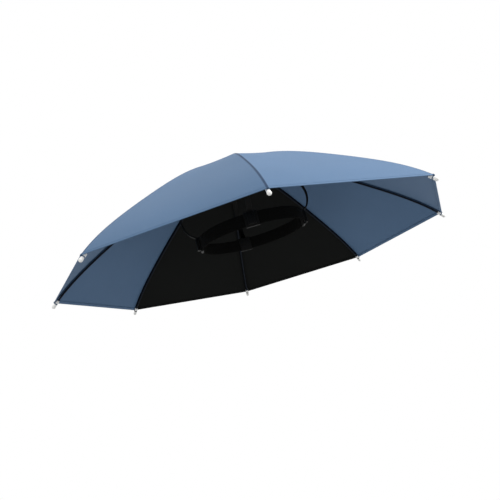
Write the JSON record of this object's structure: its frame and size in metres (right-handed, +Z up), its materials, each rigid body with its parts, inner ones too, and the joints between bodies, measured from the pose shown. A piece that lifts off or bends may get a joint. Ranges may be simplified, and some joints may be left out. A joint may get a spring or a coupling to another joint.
{
  "type": "umbrella hat",
  "caption": "Umbrella hat: a paneled cloth canopy on curved ribs, carried over the head by springy arms on an elastic headband.",
  "frame": {"origin": "where the canopy's axis passes the middle height of the headband, which is where a head holds the hat", "axes": "+Z up the canopy's axis, -Y to the front of the hat, +X to the right of a viewer who faces the front"},
  "size_m": [0.6578, 0.6578, 0.177],
  "materials": {
    "blue_cloth": "fine plain-weave polyester, dull sheen",
    "black_cloth": "fine plain-weave polyester, dull",
    "rib": "smooth dark rod",
    "white_plastic": "smooth moulded",
    "black_plastic": "satin moulded",
    "black_elastic": "ribbed woven elastic, matt"
  },
  "bodies": {
    "root": {"panel_1": "blue_cloth", "panel_2": "blue_cloth", "panel_3": "blue_cloth", "panel_4": "black_cloth", "panel_5": "black_cloth", "panel_6": "blue_cloth", "panel_7": "blue_cloth", "panel_8": "blue_cloth", "rib_1": "rib", "rib_2": "rib", "rib_3": "rib", "rib_4": "rib", "rib_5": "rib", "rib_6": "rib", "rib_7": "rib", "rib_8": "rib", "tip_cap_1": "white_plastic", "tip_cap_2": "white_plastic", "tip_cap_3": "white_plastic", "tip_cap_4": "white_plastic", "tip_cap_5": "white_plastic", "tip_cap_6": "white_plastic", "tip_cap_7": "white_plastic", "tip_cap_8": "white_plastic", "rib_hub": "black_plastic", "top_cap": "black_plastic", "arm_plate": "black_plastic", "arm_front": "black_plastic", "arm_right": "black_plastic", "arm_rear": "black_plastic", "arm_left": "black_plastic", "clip_front": "black_plastic", "clip_right": "black_plastic", "clip_rear": "black_plastic", "clip_left": "black_plastic", "headband": "black_elastic"}
  },
  "joints": []
}
